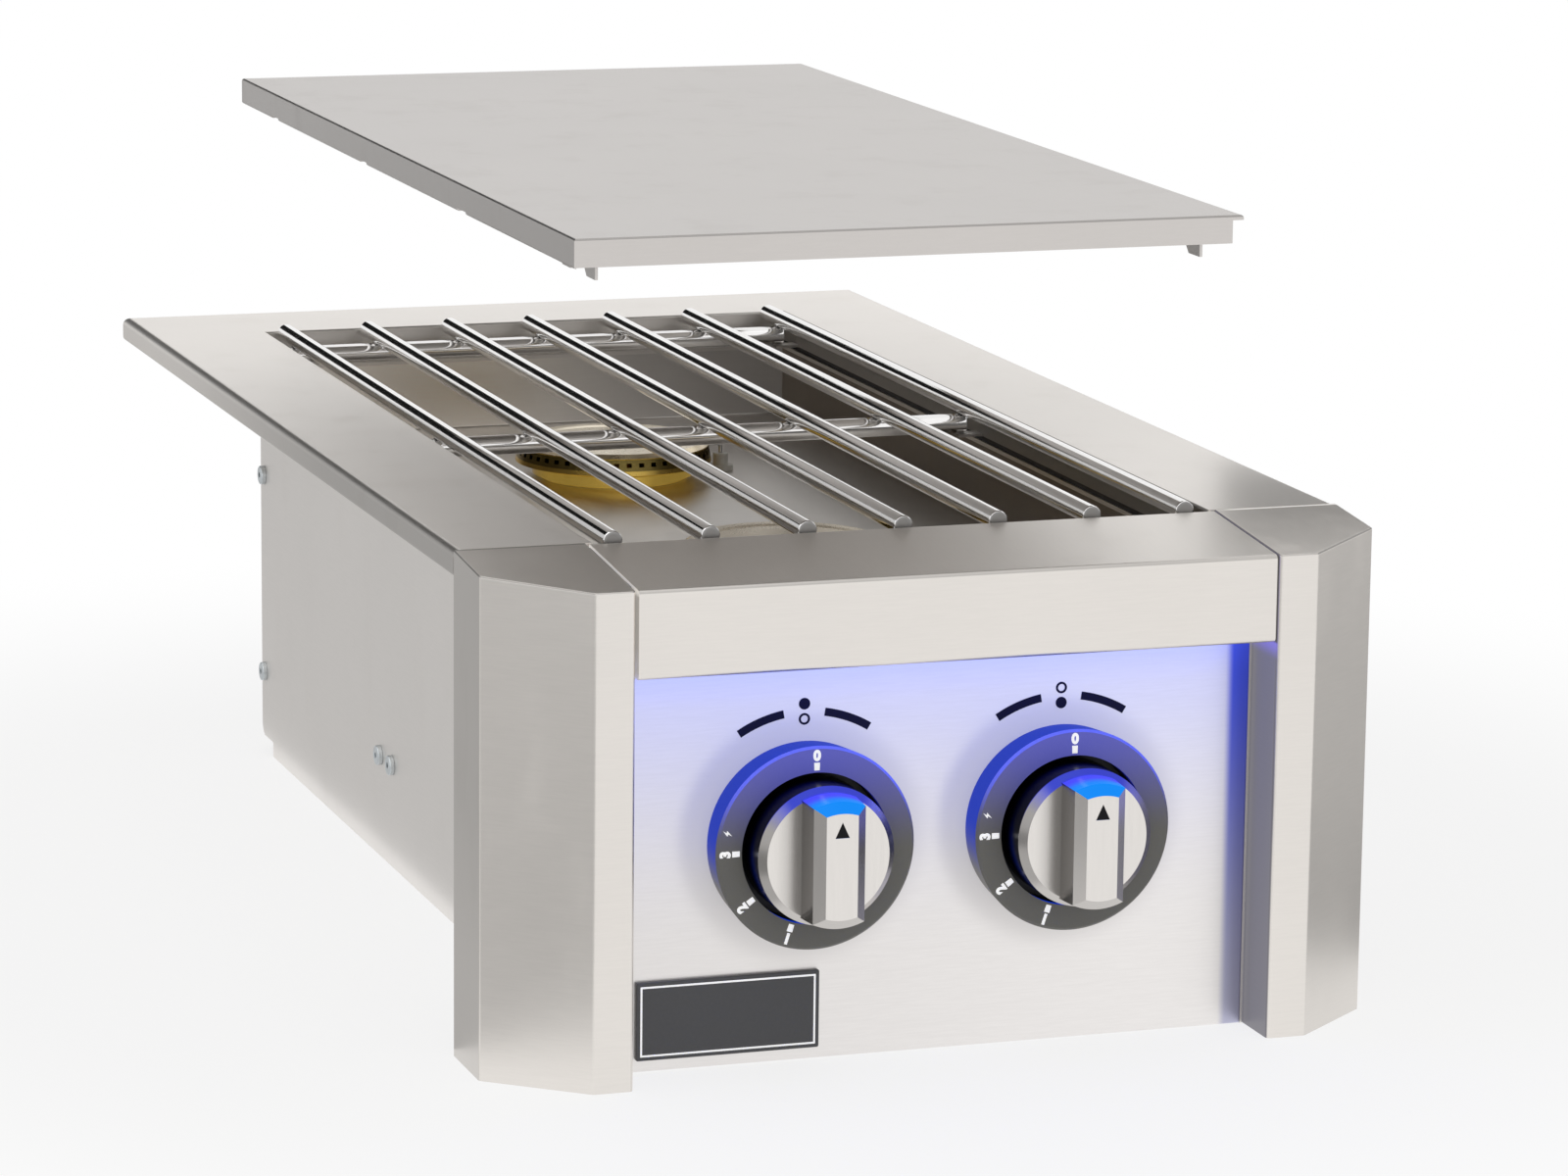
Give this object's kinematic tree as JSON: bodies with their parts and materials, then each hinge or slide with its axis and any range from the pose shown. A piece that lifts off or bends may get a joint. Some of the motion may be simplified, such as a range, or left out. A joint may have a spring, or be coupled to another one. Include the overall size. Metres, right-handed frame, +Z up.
{
  "type": "double side burner",
  "caption": "Drop-in gas side burner for an outdoor kitchen counter: bar grate over burners set one behind the other, bevelled front columns, lit control panel with knobs, lift-off lid.",
  "frame": {"origin": "on the base plane, under the middle of the bounding box", "axes": "+X to the right seen from the front, +Y from the knobs to the rear edge of the deck, +Z up"},
  "size_m": [0.368, 0.6852, 0.3204],
  "materials": {
    "stainless_sheet": "brushed",
    "casing_sheet": "satin",
    "polished_bar": "polished",
    "screw": "bright",
    "light_case": "satin",
    "light_lens": "lit",
    "bezel": "satin",
    "bezel_cup": "matte",
    "knob": "satin",
    "valve_steel": "machined",
    "valve_brass": "machined",
    "gas_pipe": "drawn",
    "burner_brass": "cast",
    "ceramic": "glazed",
    "module": "matte",
    "lead": "matte",
    "plate": "satin"
  },
  "bodies": {
    "burner_unit": {"deck": "stainless_sheet", "left_column": "stainless_sheet", "right_column": "stainless_sheet", "header": "stainless_sheet", "control_panel": "stainless_sheet", "left_panel": "casing_sheet", "right_panel": "casing_sheet", "rear_panel": "casing_sheet", "base_pan": "casing_sheet", "cross_brace": "casing_sheet", "burner_well": "casing_sheet", "panel_screws": "screw", "badge_plate": "plate", "light_housing": "light_case", "light_lens": "light_lens", "gas_manifold": "casing_sheet", "gas_inlet_pipe": "gas_pipe", "gas_inlet_fitting": "valve_brass", "rear_mixer_tube": "casing_sheet", "front_mixer_tube": "casing_sheet", "spark_module": "module", "igniter_leads": "lead", "left_bezel": "bezel", "left_bezel_cup": "bezel_cup", "left_valve_body": "valve_brass", "left_orifice": "valve_brass", "right_bezel": "bezel", "right_bezel_cup": "bezel_cup", "right_valve_body": "valve_brass", "right_orifice": "valve_brass", "rear_burner_base": "burner_brass", "rear_burner_head": "burner_brass", "rear_burner_cap": "burner_brass", "rear_insulator": "ceramic", "rear_electrode": "valve_steel", "front_burner_base": "burner_brass", "front_burner_head": "burner_brass", "front_burner_cap": "burner_brass", "front_insulator": "ceramic", "front_electrode": "valve_steel"},
    "grate": {"grate_bar_1": "polished_bar", "grate_bar_2": "polished_bar", "grate_bar_3": "polished_bar", "grate_bar_4": "polished_bar", "grate_bar_5": "polished_bar", "grate_bar_6": "polished_bar", "grate_bar_7": "polished_bar", "grate_rod_rear": "polished_bar", "grate_rod_middle": "polished_bar", "grate_rod_front": "polished_bar"},
    "lid": {"lid": "stainless_sheet", "lid_tabs": "casing_sheet"},
    "left_valve": {"left_valve_plug": "valve_brass", "left_stem_spring": "valve_steel"},
    "left_dial": {"left_knob": "knob", "left_valve_stem": "valve_steel"},
    "right_valve": {"right_valve_plug": "valve_brass", "right_stem_spring": "valve_steel"},
    "right_dial": {"right_knob": "knob", "right_valve_stem": "valve_steel"}
  },
  "joints": [
    {"name": "grate_lift", "type": "slide", "parent": "burner_unit", "child": "grate", "axis": [0, 0, 1], "range_m": [0, 0.1]},
    {"name": "lid_lift", "type": "slide", "parent": "grate", "child": "lid", "axis": [0, 0, 1], "range_m": [-0.1073, 0]},
    {"name": "left_valve_turn", "type": "hinge", "parent": "burner_unit", "child": "left_valve", "pos_m": [-0.0561, -0.29595, 0.0887], "axis": [0, -1, 0], "range_deg": [0, 162]},
    {"name": "left_knob_press", "type": "slide", "parent": "left_valve", "child": "left_dial", "axis": [0, 1, 0], "range_m": [0, 0.003], "stiffness_N_per_m": 1200, "springref_m": -0.002, "deforming": ["left_stem_spring"]},
    {"name": "right_valve_turn", "type": "hinge", "parent": "burner_unit", "child": "right_valve", "pos_m": [0.0499, -0.29595, 0.0887], "axis": [0, -1, 0], "range_deg": [0, 162]},
    {"name": "right_knob_press", "type": "slide", "parent": "right_valve", "child": "right_dial", "axis": [0, 1, 0], "range_m": [0, 0.003], "stiffness_N_per_m": 1200, "springref_m": -0.002, "deforming": ["right_stem_spring"]}
  ]
}
